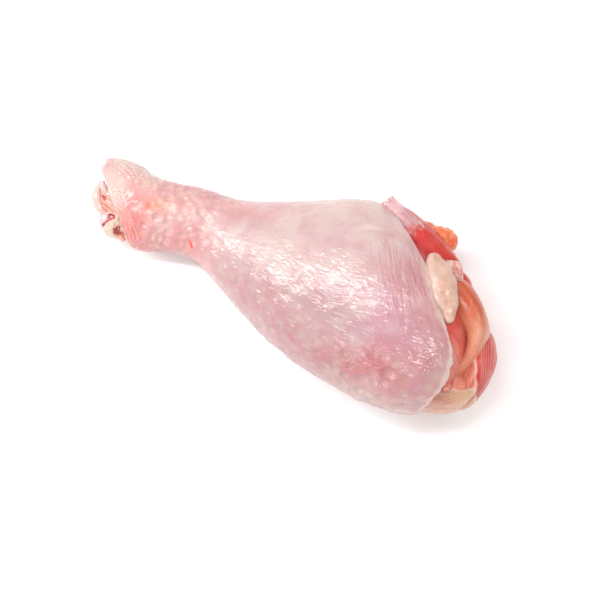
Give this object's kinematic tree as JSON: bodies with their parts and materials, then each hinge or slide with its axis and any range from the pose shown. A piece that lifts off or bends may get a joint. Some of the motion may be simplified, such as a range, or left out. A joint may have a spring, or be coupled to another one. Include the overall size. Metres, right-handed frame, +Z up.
{
  "type": "raw turkey drumstick",
  "caption": "Raw poultry leg on its side: pimpled skin sleeve over calf meat, knuckle and tendons at the ankle, bare muscles, fascia and fat at the knee.",
  "frame": {"origin": "middle of the bounds, at the height of the flat spot the drumstick rests on", "axes": "+X from the ankle to the knee, +Y towards the far side as it lies, +Z up"},
  "size_m": [0.2276, 0.1014, 0.0667],
  "materials": {
    "skin": "wet raw skin, pale pink",
    "bone_and_cartilage": "moist bluish-white cartilage",
    "tendon": "moist pink-orange strands",
    "red_muscle": "moist fine-grained red meat",
    "striped_muscle": "moist red meat with pale strands",
    "covered_muscle": "peach fascia and fat over meat",
    "fascia": "silvery pink film",
    "cream_fat": "soft cream fat",
    "orange_fat": "glossy orange fat"
  },
  "bodies": {
    "root": {"skin": "skin", "bone": "bone_and_cartilage", "tendons": "tendon", "calf_meat": "red_muscle", "front_muscle": "red_muscle", "knee_strip": "red_muscle", "outer_muscle": "striped_muscle", "band_muscle": "covered_muscle", "under_muscle": "covered_muscle", "strap_fascia": "fascia", "band_fascia": "fascia", "skin_fat": "cream_fat", "knee_fat": "orange_fat"}
  },
  "joints": []
}
